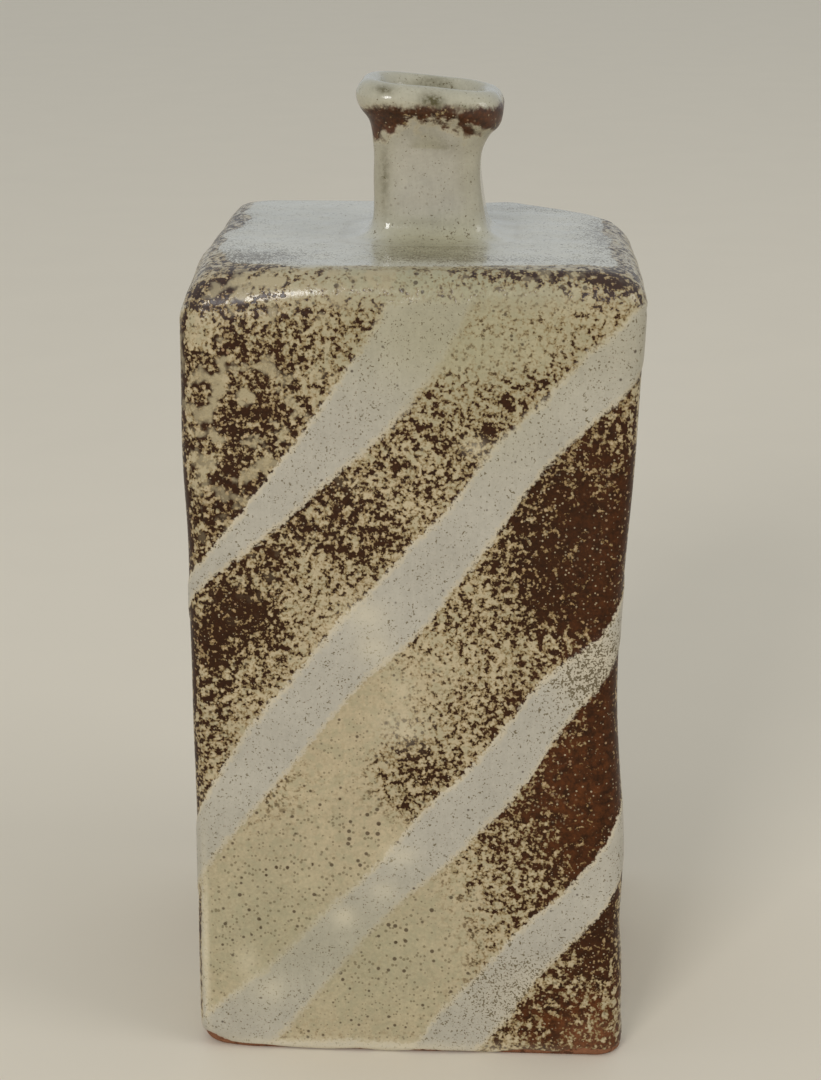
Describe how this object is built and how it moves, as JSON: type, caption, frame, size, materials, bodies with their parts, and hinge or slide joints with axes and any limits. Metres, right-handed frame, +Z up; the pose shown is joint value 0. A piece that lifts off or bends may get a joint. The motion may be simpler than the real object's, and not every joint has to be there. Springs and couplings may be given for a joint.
{
  "type": "sake bottle",
  "caption": "Square slab-built stoneware sake bottle with a squared neck, a rolled lip and diagonal pale stripes over a speckled brown and olive ash glaze.",
  "frame": {"origin": "the middle of the foot, on the surface the bottle stands on", "axes": "+Z up through the neck; -Y is the front face, with its stripes rising to the right; +X is the bottle's right-hand side as seen from the front, the one that bows inwards"},
  "size_m": [0.094, 0.094, 0.21],
  "materials": {
    "striped_glaze": "glossy ash glaze, pale slip stripes over speckled brown and olive",
    "shoulder_glaze": "glossy pale grey glaze, brown where it breaks at the edges",
    "neck_glaze": "glossy tan and olive glaze with fine dark specks",
    "lip_glaze": "thick glossy pale grey-green glaze over a broken brown band",
    "foot_clay": "reddish-brown stoneware, glazed on its sides and bare at the foot bevel",
    "inner_clay": "bare fired stoneware clay"
  },
  "bodies": {
    "root": {"base_slab": "foot_clay", "front_wall": "striped_glaze", "back_wall": "striped_glaze", "left_wall": "striped_glaze", "right_wall": "striped_glaze", "shoulder_slab": "shoulder_glaze", "neck": "neck_glaze", "lip": "lip_glaze", "neck_root_coil": "neck_glaze", "corner_coil_front_left": "inner_clay", "corner_coil_back_left": "inner_clay", "corner_coil_front_right": "inner_clay", "corner_coil_back_right": "inner_clay", "floor_coil_front": "inner_clay", "floor_coil_back": "inner_clay", "floor_coil_left": "inner_clay", "floor_coil_right": "inner_clay"}
  },
  "joints": []
}
